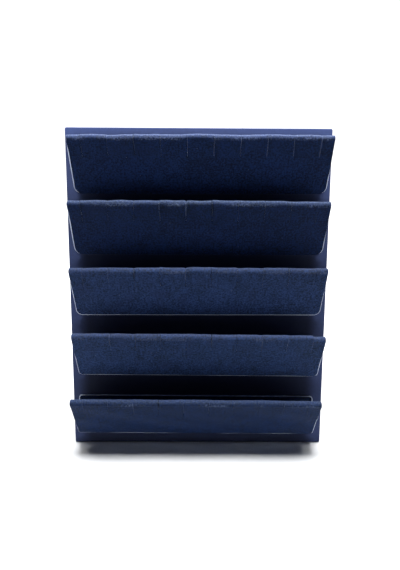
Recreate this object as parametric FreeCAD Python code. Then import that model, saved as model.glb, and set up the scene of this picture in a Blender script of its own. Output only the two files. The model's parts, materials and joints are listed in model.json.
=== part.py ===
"""Tiered display tray: a cloth-covered board on an easel strut, with five velvet ledges that fold out of its face.

Everything is first modelled with the board lying on its back: X across the board, Y up the board from its bottom
edge and Z out of its front face. The finished pieces are then stood up at the board's lean, and moved so that the
origin is the middle of the footprint on the surface that the tray stands on. Units are millimetres and degrees.
"""
import FreeCAD, Part
import math
import os

from FreeCAD import Matrix, Rotation, Vector

# Board
BOARD_WIDTH = 254.0
BOARD_HEIGHT = 315.0
BOARD_CORE = 3.0           # greyboard
CLOTH = 0.5                # covering cloth
CLOTH_TURN_IN = 16.0       # how far the cloth is glued round onto the back
BOARD_EDGE_RADIUS = 0.8    # cloth round the board's edges
LINING = 0.5               # paper over the turn-ins
LINING_MARGIN = 4.0        # from the board's edge to the lining's edge

# Ledges, counted from the top. Each is one strip of velvet-faced card folded into an N: a tab glued to the board,
# a back wall that swings on the crease below the tab, and a front apron folded down over the back wall.
LEDGE_PITCH = 60.0
TOP_CREASE_DROP = 59.4     # from the board's top edge to the first ledge's even place
LEDGE_WIDTH = 239.0
LEDGE_LENGTH = 54.0        # from the crease to the top of the fold
LEDGE_OPENING = (25.0, 25.5, 27.0, 28.5, 33.0)
LEDGE_CORNER = (9.0, 8.0, 6.0, 4.0, 3.0)

# How far each hand-glued ledge is from its even place: to the right, up, and tilted down at its right end
LEDGE_SHIFT = (1.8, 0.4, 0.2, 0.4, -2.0)
LEDGE_RISE = (0.8, 2.0, 2.4, 0.6, -0.6)
LEDGE_TILT = (-0.2, 0.0, -0.1, 0.35, 0.3)

# Velvet-faced card, and how it is folded
CARD = 1.2
VELVET = 0.7
FOLD_RADIUS = 3.3          # outside of the rolled fold at the top, over the velvet
APRON_DROP = 0.5           # how far the apron hangs past the crease
TAPE = 0.4                 # between apron and back wall, at its lower end
TAPE_HEIGHT = 12.0
TAPE_INSET = 12.0
TAB_HEIGHT = 36.0
CUT_EDGE = 0.9             # bare card shown round the velvet at a cut edge
CREASE_GAP = 0.4           # from the crease's axis to the velvet on each side of it
CREASE_STAY = 80.0         # how much of the crease's bend stays with the tab

# Slits that hold chains, cards or labels
SLITS = 10
SLIT_WIDTH = 0.5
SLIT_DEPTH = 19.0

# Easel strut
LEAN = 17.0                # of the board, back from the vertical
STRUT_OPENING = 32.0       # between the board and the leg
STRUT_CREASE = 212.0       # up the board
STRUT_CORE = 2.2
STRUT_LINING = 0.3
HEAD_CORE = 3.6
HEAD_HEIGHT = 34.0
STRUT_TOP_WIDTH = 58.0
STRUT_FOOT_WIDTH = 96.0
STRUT_CREASE_RADIUS = 0.6
STRUT_CREASE_GAP = 1.0     # from the crease's axis to the boards on each side of it

# Ribbon that stops the strut
RIBBON = 0.4
RIBBON_WIDTH = 12.0
RIBBON_REACH = 140.0       # from the strut's crease to the ribbon
RIBBON_TAIL = 14.0         # glued down at each end
RIBBON_GAP = 0.3

# Derived sizes. Z is 0 at the front of the cloth.
CORE_BACK = -CLOTH - BOARD_CORE
CLOTH_BACK = CORE_BACK - CLOTH
BOARD_BACK = CLOTH_BACK - LINING
LAYERS = CARD + VELVET
CREASE_OUT = LAYERS + CREASE_GAP
ROLL_UP = LEDGE_LENGTH - FOLD_RADIUS
ROLL_OUT = CREASE_GAP + FOLD_RADIUS
APRON_BOTTOM_OUT = CREASE_GAP + 2 * LAYERS + TAPE
SPAN = math.hypot(ROLL_UP + APRON_DROP, APRON_BOTTOM_OUT - ROLL_OUT)
APRON_TAPER = (math.asin(FOLD_RADIUS / SPAN)
               - math.atan2(APRON_BOTTOM_OUT - ROLL_OUT, ROLL_UP + APRON_DROP))
HEAD_BACK = BOARD_BACK - HEAD_CORE - CLOTH
STRUT_AXIS_OUT = HEAD_BACK + CLOTH / 2
LEG_OUTER = CLOTH / 2      # from the strut's axis to the leg's faces
LEG_INNER = LEG_OUTER - CLOTH - STRUT_CORE - STRUT_LINING
EASEL_SPLAY = STRUT_OPENING - LEAN


def crease_up(ledge):
    """How far up the board the middle of a ledge's crease is."""
    return BOARD_HEIGHT - TOP_CREASE_DROP - ledge * LEDGE_PITCH + LEDGE_RISE[ledge]


def stood(up, out):
    """(Y, Z) of a point of the flat model once the board leans, before it is centred and set on its surface."""
    turn = math.radians(90 - LEAN)
    return (up * math.cos(turn) - out * math.sin(turn), up * math.sin(turn) + out * math.cos(turn))


def roll_centre(ledge):
    """(up, out) of the centre of a ledge's rolled fold, at its lower end."""
    a = math.radians(LEDGE_OPENING[ledge])
    tilt = math.radians(abs(LEDGE_TILT[ledge]))
    above = (ROLL_UP * math.cos(a) - ROLL_OUT * math.sin(a)) * math.cos(tilt)
    up = crease_up(ledge) + above - LEDGE_WIDTH / 2 * math.sin(tilt)
    return up, CREASE_OUT + ROLL_UP * math.sin(a) + ROLL_OUT * math.cos(a)


FLOOR = stood(BOARD_EDGE_RADIUS, CLOTH_BACK + BOARD_EDGE_RADIUS)[1] - BOARD_EDGE_RADIUS
STRUT_AXIS_HEIGHT = stood(STRUT_CREASE, STRUT_AXIS_OUT)[1] - FLOOR
SPLAY = math.radians(EASEL_SPLAY)


def leg_length(across, clear=0.0):
    """Length of the leg from its axis to clear above the floor, along the line that lies across from the axis."""
    return (STRUT_AXIS_HEIGHT - clear + across * math.sin(SPLAY)) / math.cos(SPLAY)


FOOT_BACK = (stood(STRUT_CREASE, STRUT_AXIS_OUT)[0] + LEG_OUTER * math.cos(SPLAY)
             + leg_length(LEG_OUTER) * math.sin(SPLAY))
BACK_Y = max(FOOT_BACK, stood(BOARD_HEIGHT - LINING_MARGIN, BOARD_BACK)[0])
FRONT_Y = min(stood(*roll_centre(n))[0] for n in range(len(LEDGE_OPENING))) - FOLD_RADIUS
CENTRE_Y = (FRONT_Y + BACK_Y) / 2


def box(x0, x1, y0, y1, z0, z1):
    return Part.makeBox(x1 - x0, y1 - y0, z1 - z0, Vector(x0, y0, z0))


def side_prism(edges, half_width):
    """A closed side profile, drawn in the YZ plane, extruded to half_width on each side."""
    wire = Part.Wire(edges)
    wire.translate(Vector(-half_width, 0, 0))
    return Part.Face(wire).extrude(Vector(2 * half_width, 0, 0))


def line(a, b):
    return Part.makeLine(Vector(0, *a), Vector(0, *b))


def arc(centre, radius, start, middle, end):
    """An arc in the YZ plane through three angles, each in degrees from +Y towards +Z."""
    points = []
    for angle in (start, middle, end):
        a = math.radians(angle)
        points.append(Vector(0, centre[0] + radius * math.cos(a), centre[1] + radius * math.sin(a)))
    return Part.Arc(*points).toShape()


def polygon(points):
    return [line(a, b) for a, b in zip(points, points[1:] + points[:1])]


def corner_cutters(half_width, bottom, radius, z0, z1, up=1):
    """What a rounded corner removes at each end of a straight edge at Y = bottom. up is 1 for a lower edge."""
    cutters = []
    for side in (-1, 1):
        corner = box(-radius - 1, 0, -1, radius, z0, z1)
        corner.translate(Vector(radius, 0, 0))
        corner = corner.cut(Part.makeCylinder(radius, z1 - z0 + 2, Vector(radius, radius, z0 - 1)))
        corner = corner.common(box(-1, radius, -1, radius, z0, z1))
        if side > 0:
            corner = corner.mirror(Vector(0, 0, 0), Vector(1, 0, 0))
        if up < 0:
            corner = corner.mirror(Vector(0, 0, 0), Vector(0, 1, 0))
        corner.translate(Vector(side * half_width, bottom, 0))
        cutters.append(corner)
    return cutters


def board():
    """The greyboard, the cloth wrapped round it, and the infill and lining that finish its back."""
    half = BOARD_WIDTH / 2
    core = box(-half + CLOTH, half - CLOTH, CLOTH, BOARD_HEIGHT - CLOTH, CORE_BACK, -CLOTH)
    outer = box(-half, half, 0, BOARD_HEIGHT, CLOTH_BACK, 0)
    outer = outer.makeFillet(BOARD_EDGE_RADIUS, outer.Edges)
    window = CLOTH + CLOTH_TURN_IN
    infill = box(-half + window, half - window, window, BOARD_HEIGHT - window, CLOTH_BACK, CORE_BACK)
    lining = box(-half + LINING_MARGIN, half - LINING_MARGIN, LINING_MARGIN, BOARD_HEIGHT - LINING_MARGIN,
                 BOARD_BACK, CLOTH_BACK)
    return {"board_core": core, "board_cloth": outer.cut(core).cut(infill), "back_infill": infill,
            "back_lining": lining}


def glued(shape, number):
    """Puts a ledge's piece, drawn with the crease's axis at the origin, in its place on the board."""
    shape.rotate(Vector(0, 0, 0), Vector(0, 0, 1), -LEDGE_TILT[number])
    shape.translate(Vector(LEDGE_SHIFT[number], crease_up(number), CREASE_OUT))


def hairpin(outer, inner, apron_end):
    """Side profile of a folded layer between two radii about the roll, drawn with the crease's axis at the origin
    and the ledge shut flat. apron_end is how far above the apron's lower edge the layer stops."""
    front = 90 + math.degrees(APRON_TAPER)
    down = Vector(0, -math.cos(APRON_TAPER), -math.sin(APRON_TAPER))
    normal = Vector(0, -math.sin(APRON_TAPER), math.cos(APRON_TAPER))
    centre = Vector(0, ROLL_UP, ROLL_OUT)
    length = math.sqrt(SPAN ** 2 - FOLD_RADIUS ** 2) - apron_end
    top_outer, top_inner = centre + normal * outer, centre + normal * inner
    end_outer, end_inner = top_outer + down * length, top_inner + down * length
    back_outer, back_inner = ROLL_OUT - outer, ROLL_OUT - inner
    return [
        line((0, back_outer), (ROLL_UP, back_outer)),
        arc((ROLL_UP, ROLL_OUT), outer, -90, 0, front),
        Part.makeLine(top_outer, end_outer),
        Part.makeLine(end_outer, end_inner),
        Part.makeLine(end_inner, top_inner),
        arc((ROLL_UP, ROLL_OUT), inner, front, 0, -90),
        line((ROLL_UP, back_inner), (0, back_inner)),
        line((0, back_inner), (0, back_outer)),
    ]


def slit_cutters():
    """Thin blocks that cut the slits through both walls of a ledge, from the top of its fold."""
    cell = LEDGE_WIDTH / SLITS
    cutters = []
    for n in range(SLITS):
        x = (n + 0.5) * cell - LEDGE_WIDTH / 2
        cutters.append(box(x - SLIT_WIDTH / 2, x + SLIT_WIDTH / 2, LEDGE_LENGTH - SLIT_DEPTH, LEDGE_LENGTH + 1,
                           -1, ROLL_OUT + FOLD_RADIUS + 1))
    return cutters


def ledge(number):
    """The moving part of a ledge: folded card, its velvet, and the tape that holds the apron to the back wall."""
    half = LEDGE_WIDTH / 2
    corner = LEDGE_CORNER[number]
    apron_only = CREASE_GAP + LAYERS + TAPE / 2
    top = ROLL_OUT + FOLD_RADIUS
    card_radius = FOLD_RADIUS - VELVET
    card = side_prism(hairpin(card_radius, card_radius - CARD, 0), half)
    card = card.cut(corner_cutters(half, -APRON_DROP, corner, apron_only, top))
    velvet = side_prism(hairpin(FOLD_RADIUS, card_radius, CUT_EDGE), half - CUT_EDGE)
    velvet = velvet.cut(corner_cutters(half - CUT_EDGE, CUT_EDGE - APRON_DROP, corner - CUT_EDGE, apron_only, top))
    slits = slit_cutters()
    wall = CREASE_GAP + LAYERS
    low, high = CUT_EDGE, CUT_EDGE + TAPE_HEIGHT

    def apron_back(up):
        """How far out the apron's inner face is, at a height above the crease."""
        return ROLL_OUT + ((FOLD_RADIUS - LAYERS) - (ROLL_UP - up) * math.sin(APRON_TAPER)) / math.cos(APRON_TAPER)

    tape = side_prism(polygon([(low, wall), (high, wall), (high, apron_back(high)), (low, apron_back(low))]),
                      half - TAPE_INSET)
    pieces = {"card": card.cut(slits), "velvet": velvet.cut(slits), "tape": tape}
    for shape in pieces.values():
        shape.rotate(Vector(0, 0, 0), Vector(1, 0, 0), LEDGE_OPENING[number])
        glued(shape, number)
    return {f"ledge_{number + 1}_{name}": shape for name, shape in pieces.items()}


def crease_bend(outer, inner, half_width):
    """The part of the crease's round bend that stays with the tab, about an axis at the origin."""
    end = -90 - CREASE_STAY
    middle = -90 - CREASE_STAY / 2
    a, b = math.radians(-90), math.radians(end)
    profile = [
        arc((0, 0), outer, -90, middle, end),
        line((outer * math.cos(b), outer * math.sin(b)), (inner * math.cos(b), inner * math.sin(b))),
        arc((0, 0), inner, end, middle, -90),
        line((0, inner * math.sin(a)), (0, outer * math.sin(a))),
    ]
    return side_prism(profile, half_width)


def tab(number):
    """The fixed part of a ledge: the tab glued to the board, with its velvet, down to the crease."""
    half = LEDGE_WIDTH / 2
    corner = LEDGE_CORNER[number]
    velvet_half = half - CUT_EDGE
    velvet_top = TAB_HEIGHT - CUT_EDGE
    card = box(-half, half, 0, TAB_HEIGHT, -CREASE_OUT, -CREASE_OUT + CARD)
    card = card.cut(corner_cutters(half, TAB_HEIGHT, corner, -CREASE_OUT - 1, 0, up=-1))
    card = card.fuse(crease_bend(CREASE_OUT, CREASE_OUT - CARD, half)).removeSplitter()
    velvet = box(-velvet_half, velvet_half, 0, velvet_top, -CREASE_OUT + CARD, -CREASE_GAP)
    velvet = velvet.cut(corner_cutters(velvet_half, velvet_top, corner - CUT_EDGE, -CREASE_OUT, 0, up=-1))
    velvet = velvet.fuse(crease_bend(CREASE_OUT - CARD, CREASE_GAP, velvet_half)).removeSplitter()
    pieces = {"card": card, "velvet": velvet}
    for shape in pieces.values():
        glued(shape, number)
    return {f"ledge_{number + 1}_tab_{name}": shape for name, shape in pieces.items()}


def half_width_at(length):
    """Half the strut's width, at a distance down the leg from its crease."""
    share = length / leg_length(LEG_OUTER)
    return (STRUT_TOP_WIDTH + share * (STRUT_FOOT_WIDTH - STRUT_TOP_WIDTH)) / 2


def leg_layer(inner, outer, inset, start, clear):
    """A layer of the leg between two distances from its axis, drawn hanging straight down. inset is from the leg's
    long edges, start from its axis, and clear is its height above the floor once the leg is open."""
    profile = polygon([(-start, -inner), (-start, -outer), (-leg_length(outer, clear), -outer),
                       (-leg_length(inner, clear), -inner)])
    side = side_prism(profile, STRUT_FOOT_WIDTH)
    long = leg_length(LEG_OUTER) + 10
    top, bottom = half_width_at(0) - inset, half_width_at(long) - inset
    outline = Part.makePolygon([Vector(-top, 0, -20), Vector(top, 0, -20), Vector(bottom, -long, -20),
                                Vector(-bottom, -long, -20), Vector(-top, 0, -20)])
    return side.common(Part.Face(outline).extrude(Vector(0, 0, 40)))


def strut_leg():
    """The swinging leg of the easel: board, the cloth wrapped round it, and the lining on its inner face."""
    skin = leg_layer(LEG_INNER + STRUT_LINING, LEG_OUTER, 0, STRUT_CREASE_GAP, 0)
    core = leg_layer(LEG_INNER + STRUT_LINING, LEG_OUTER - CLOTH, CLOTH, STRUT_CREASE_GAP + CLOTH, CLOTH)
    lining = leg_layer(LEG_INNER, LEG_INNER + STRUT_LINING, 2 * CLOTH, 2 * STRUT_CREASE_GAP, 2 * CLOTH)
    pieces = {"core": core, "cloth": skin.cut(core), "lining": lining}
    for shape in pieces.values():
        shape.rotate(Vector(0, 0, 0), Vector(1, 0, 0), STRUT_OPENING)
        shape.translate(Vector(0, STRUT_CREASE, STRUT_AXIS_OUT))
    return {f"strut_leg_{name}": shape for name, shape in pieces.items()}


def strut_head():
    """The strut's fixed end, glued to the back lining: board, and the cloth that runs on into the crease."""
    half = STRUT_TOP_WIDTH / 2
    low = STRUT_CREASE + STRUT_CREASE_GAP
    high = low + HEAD_HEIGHT
    core = box(-half + CLOTH, half - CLOTH, low, high - CLOTH, HEAD_BACK + CLOTH, BOARD_BACK)
    cloth = box(-half, half, low, high, HEAD_BACK, BOARD_BACK).cut(core)
    bridge = box(-half, half, STRUT_CREASE, low, HEAD_BACK, HEAD_BACK + CLOTH)
    bead = Part.makeCylinder(STRUT_CREASE_RADIUS, 2 * half, Vector(-half, STRUT_CREASE, STRUT_AXIS_OUT),
                             Vector(1, 0, 0))
    return {"strut_head_core": core, "strut_head_cloth": cloth.fuse([bridge, bead]).removeSplitter()}


def ribbon():
    """The ribbon between board and leg, pulled straight by the open leg, with a glued tail at each end."""
    half = RIBBON_WIDTH / 2
    low = STRUT_CREASE - RIBBON_REACH
    board_tail = box(-half, half, low, low + RIBBON_TAIL, BOARD_BACK - RIBBON, BOARD_BACK)
    face = -LEG_INNER + RIBBON_GAP
    leg_tail = box(-half, half, -RIBBON_REACH, -RIBBON_REACH + RIBBON_TAIL, face, face + RIBBON)
    leg_tail.rotate(Vector(0, 0, 0), Vector(1, 0, 0), STRUT_OPENING)
    leg_tail.translate(Vector(0, STRUT_CREASE, STRUT_AXIS_OUT))
    a = math.radians(STRUT_OPENING)
    middle = face + RIBBON / 2
    start = Vector(0, low + RIBBON / 2, BOARD_BACK - RIBBON / 2)
    inset = RIBBON_REACH - RIBBON / 2
    end = Vector(0, STRUT_CREASE - inset * math.cos(a) - middle * math.sin(a),
                 STRUT_AXIS_OUT - inset * math.sin(a) + middle * math.cos(a))
    along = (end - start).normalize()
    across = Vector(0, -along.z, along.y) * (RIBBON / 2)
    corners = [start + across, end + across, end - across, start - across]
    span = side_prism(polygon([(p.y, p.z) for p in corners]), half)
    return {"ribbon_stay": board_tail.fuse([span, leg_tail]).removeSplitter()}


def stand_up(shape):
    """Leans a finished piece back and sets it on its surface, over the middle of the footprint."""
    turn = Rotation(Vector(1, 0, 0), 90 - LEAN)
    matrix = Matrix(turn.toMatrix())
    matrix.move(Vector(0, -CENTRE_Y, -FLOOR))
    return shape.transformed(matrix)


def main():
    os.makedirs("parts", exist_ok=True)
    pieces = {**board(), **strut_head(), **strut_leg(), **ribbon()}
    for number in range(len(LEDGE_OPENING)):
        pieces.update(tab(number))
        pieces.update(ledge(number))
    for name, shape in pieces.items():
        finished = stand_up(shape)
        if not finished.isValid() or len(finished.Solids) != 1:
            raise ValueError(f"{name} is not one valid solid")
        finished.Solids[0].exportStep(f"parts/{name}.step")
    print(len(pieces), "pieces, on a footprint from", round(FRONT_Y - CENTRE_Y, 2), "to", round(BACK_Y - CENTRE_Y, 2))


main()
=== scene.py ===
"""Looks for the tiered display tray: velvet-faced card ledges on a cloth-covered board with an easel strut.

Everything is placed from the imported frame. The joints give each crease, and the board's lean comes from
their line.
"""
import json
import math

import bpy
import numpy as np
from mathutils import Matrix, Vector


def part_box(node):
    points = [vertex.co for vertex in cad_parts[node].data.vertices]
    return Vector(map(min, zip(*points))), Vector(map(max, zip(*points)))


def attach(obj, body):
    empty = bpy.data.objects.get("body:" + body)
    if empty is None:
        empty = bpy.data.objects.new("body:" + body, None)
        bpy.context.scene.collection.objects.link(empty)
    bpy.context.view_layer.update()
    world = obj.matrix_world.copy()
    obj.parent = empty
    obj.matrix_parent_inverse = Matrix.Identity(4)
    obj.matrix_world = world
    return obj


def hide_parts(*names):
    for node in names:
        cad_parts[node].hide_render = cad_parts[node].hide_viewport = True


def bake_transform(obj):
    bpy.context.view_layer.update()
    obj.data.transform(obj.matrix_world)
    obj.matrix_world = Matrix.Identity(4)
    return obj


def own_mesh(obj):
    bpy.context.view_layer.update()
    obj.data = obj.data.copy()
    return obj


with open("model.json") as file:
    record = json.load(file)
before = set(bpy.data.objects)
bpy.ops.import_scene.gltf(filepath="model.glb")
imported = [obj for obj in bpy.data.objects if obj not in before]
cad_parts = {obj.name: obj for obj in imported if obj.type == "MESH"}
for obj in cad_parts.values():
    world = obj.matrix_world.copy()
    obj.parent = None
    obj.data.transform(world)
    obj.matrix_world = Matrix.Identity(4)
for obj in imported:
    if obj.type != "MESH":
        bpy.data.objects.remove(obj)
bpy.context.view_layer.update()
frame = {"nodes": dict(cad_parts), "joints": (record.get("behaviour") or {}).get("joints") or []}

MM = 0.001

# Ledge sizes, in millimetres, as in the CAD model
LENGTH = 54.0                                # from the crease to the top of the fold
WIDTH = 239.0
CORNERS = (9.0, 8.0, 6.0, 4.0, 3.0)          # of each ledge's tab, from the top ledge down
CARD = 1.2
VELVET = 0.7
LAYERS = CARD + VELVET
ROLL = 3.3                                   # outside radius of the fold
GAP = 0.4                                    # from the crease's axis to the velvet on each side of it
APRON_DROP = 0.5
TAPE = 0.4
TAB_HEIGHT = 36.0
SLITS = 10
SLIT_DEPTH = 19.0
CELL = WIDTH / SLITS                         # from slit to slit
HALF = WIDTH / 2

# The folded strip: up the back wall, round the roll and down the apron, which tapers in to the tape
ROLL_UP = LENGTH - ROLL
ROLL_OUT = GAP + ROLL
SPAN = math.hypot(ROLL_UP + APRON_DROP, GAP + 2 * LAYERS + TAPE - ROLL_OUT)
TAPER = math.asin(ROLL / SPAN) - math.atan2(GAP + 2 * LAYERS + TAPE - ROLL_OUT, ROLL_UP + APRON_DROP)
APRON = math.sqrt(SPAN ** 2 - ROLL ** 2)
ARC = 2.6 * (math.pi + TAPER)                # round the roll, along the card's middle
FRONT_FROM = ROLL_UP + ARC                   # where the apron starts, along the strip

joints = {j["child"]: j for j in frame["joints"]}
ledge_joints = [joints[f"ledge_{n + 1}"] for n in range(5)]
first, last = (np.array(j["pos_m"]) for j in (ledge_joints[0], ledge_joints[-1]))
UP = first - last
UP[0] = 0
UP = UP / np.linalg.norm(UP)
OUT = np.array([0.0, -UP[2], UP[1]])
LEAN = math.atan2(UP[1], UP[2])
X = np.array([1.0, 0, 0])

BOARD_LOW, BOARD_HIGH = (np.array(c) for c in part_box("board_cloth"))
BOARD_W = (BOARD_HIGH[0] - BOARD_LOW[0]) / MM
FRONT = -(LAYERS + GAP)                      # the board's front face, out from the creases, in millimetres
HEAD_Z = float(np.array([0, BOARD_HIGH[1] - 0.002, BOARD_HIGH[2]]) @ UP)   # the board's top edge, along it


def wave(seed, span, terms=5):
    """A smooth random curve of x, about -1 to 1, whose shortest features are about span long."""
    r = np.random.RandomState(seed)
    turns = r.uniform(0.15, 1.0, terms) * 2 * math.pi / span
    starts = r.uniform(0, 2 * math.pi, terms)
    sizes = r.uniform(0.4, 1.0, terms)
    sizes /= sizes.sum()

    def curve(x):
        x = np.asarray(x, float)
        return sum(size * np.sin(turn * x + start) for size, turn, start in zip(sizes, turns, starts)) * 1.6

    return curve


def smooth(t):
    """0 below 0, 1 above 1 and an even S between."""
    t = np.clip(t, 0, 1)
    return t * t * (3 - 2 * t)


def make(name, verts, faces, uv=None, index=None, materials=(), sharp=40):
    """A mesh object from vertices in metres, with its faces as given, smooth shaded and sharp past an angle."""
    me = bpy.data.meshes.new(name)
    me.from_pydata([tuple(v) for v in verts], [], [tuple(f) for f in faces])
    for m in materials:
        me.materials.append(m)
    if uv is not None:
        layer = me.uv_layers.new(name="cloth")
        loops = np.empty(len(me.loops), int)
        me.loops.foreach_get("vertex_index", loops)
        layer.data.foreach_set("uv", np.asarray(uv, np.float32)[loops].ravel())
    if index is not None:
        me.polygons.foreach_set("material_index", np.asarray(index, np.int32))
    me.polygons.foreach_set("use_smooth", np.ones(len(me.polygons), bool))
    me.validate()
    me.set_sharp_from_angle(angle=math.radians(sharp))
    me.update()
    ob = bpy.data.objects.new(name, me)
    bpy.context.scene.collection.objects.link(ob)
    return ob


def slab(front, back, uv, keep=None, wall_index=0):
    """(verts, faces, uv, material index) of a closed sheet between two grids of shape (rows, columns, 3).
    keep marks the cells that exist. front is the side that faces out."""
    rows, cols = front.shape[:2]
    if keep is None:
        keep = np.ones((rows - 1, cols - 1), bool)
    n = rows * cols
    verts = np.concatenate([front.reshape(-1, 3), back.reshape(-1, 3)])
    at = np.arange(n).reshape(rows, cols)
    i, j = np.nonzero(keep)
    a, b, c, d = at[i, j], at[i, j + 1], at[i + 1, j + 1], at[i + 1, j]
    faces = [np.stack([a, b, c, d], 1), np.stack([d + n, c + n, b + n, a + n], 1)]
    index = [np.zeros(2 * len(a), int)]
    padded = np.zeros((rows + 1, cols + 1), bool)
    padded[1:-1, 1:-1] = keep
    for di, dj, p, q in ((-1, 0, a, b), (1, 0, c, d), (0, 1, b, c), (0, -1, d, a)):
        edge = ~padded[i + 1 + di, j + 1 + dj]
        faces.append(np.stack([q[edge], p[edge], p[edge] + n, q[edge] + n], 1))
        index.append(np.full(int(edge.sum()), wall_index))
    used = np.zeros(2 * n, bool)
    faces = np.concatenate(faces)
    used[faces.ravel()] = True
    remap = np.cumsum(used) - 1
    return verts[used], remap[faces], np.concatenate([uv.reshape(-1, 2)] * 2)[used], np.concatenate(index)


# ---------------------------------------------------------------- materials

class Nodes:
    """Short calls for building a material's node tree."""

    def __init__(self, name):
        self.mat = bpy.data.materials.new(name)
        self.mat.use_nodes = True
        self.tree = self.mat.node_tree
        self.tree.nodes.clear()
        self.out = self.tree.nodes.new("ShaderNodeOutputMaterial")

    def add(self, kind, inputs=None, **settings):
        node = self.tree.nodes.new(kind)
        for key, value in settings.items():
            setattr(node, key, value)
        for key, value in (inputs or {}).items():
            self.put(node.inputs[key], value)
        return node

    def put(self, socket, value):
        if isinstance(value, bpy.types.NodeSocket):
            self.tree.links.new(value, socket)
        else:
            socket.default_value = value

    def math(self, operation, a, b=0.0, c=0.0, clamp=False):
        node = self.add("ShaderNodeMath", operation=operation, use_clamp=clamp)
        for socket, value in zip(node.inputs, (a, b, c)):
            self.put(socket, value)
        return node.outputs[0]

    def times(self, a, b):
        return self.math("MULTIPLY", a, b)

    def plus(self, a, b):
        return self.math("ADD", a, b)

    def stretch(self, vector, scales):
        return self.add("ShaderNodeVectorMath", {0: vector, 1: scales}, operation="MULTIPLY").outputs[0]

    def noise(self, vector, scale, detail, rough, distortion=0.0):
        inputs = {"Vector": vector, "Scale": scale, "Detail": detail, "Roughness": rough,
                  "Distortion": distortion}
        return self.add("ShaderNodeTexNoise", inputs).outputs["Fac"]

    def ramp(self, value, low, high, to_low=0.0, to_high=1.0):
        inputs = {"Value": value, "From Min": low, "From Max": high, "To Min": to_low, "To Max": to_high}
        return self.add("ShaderNodeMapRange", inputs, interpolation_type="SMOOTHSTEP").outputs["Result"]

    def specks(self, vector, scale, low, high, share):
        """1 in scattered round specks, in the share of the cells that is above share, and 0 elsewhere."""
        spots = self.add("ShaderNodeTexVoronoi", {"Vector": vector, "Scale": scale, "Randomness": 1.0})
        lint = self.ramp(spots.outputs["Distance"], low, high, 1.0, 0.0)
        tint = self.add("ShaderNodeSeparateColor", {"Color": spots.outputs["Color"]})
        return self.times(lint, self.math("GREATER_THAN", tint.outputs[0], share))

    def mix(self, fac, a, b, blend="MIX"):
        node = self.add("ShaderNodeMix", data_type="RGBA", blend_type=blend)
        self.put(node.inputs["Factor"], fac)
        self.put(node.inputs["A"], (*a, 1) if isinstance(a, tuple) else a)
        self.put(node.inputs["B"], (*b, 1) if isinstance(b, tuple) else b)
        return node.outputs["Result"]

    def doubled(self, colour):
        return self.mix(1.0, colour, colour, "ADD")

    def bump(self, height, distance, strength):
        inputs = {"Height": height, "Distance": distance, "Strength": strength}
        return self.add("ShaderNodeBump", inputs).outputs["Normal"]

    def shade(self, colour, rough, normal=None, sheen=None, specular=0.5, tint=(1, 1, 1)):
        node = self.add("ShaderNodeBsdfPrincipled", {"Roughness": rough, "Specular IOR Level": specular})
        self.put(node.inputs["Base Color"], (*colour, 1) if isinstance(colour, tuple) else colour)
        node.inputs["Specular Tint"].default_value = (*tint, 1)
        if sheen:
            node.inputs["Sheen Weight"].default_value = sheen[0]
            node.inputs["Sheen Roughness"].default_value = sheen[1]
            node.inputs["Sheen Tint"].default_value = (*sheen[2], 1)
        if normal is not None:
            self.put(node.inputs["Normal"], normal)
        self.tree.links.new(node.outputs[0], self.out.inputs[0])
        return self.mat


def rgb(r, g, b):
    """Linear colour from display values of 0 to 255."""
    return tuple((v / 255 / 12.92) if v <= 10 else ((v / 255 + 0.055) / 1.055) ** 2.4 for v in (r, g, b))


def scaled(colour, by):
    return tuple(min(1.0, c * by) for c in colour)


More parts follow.
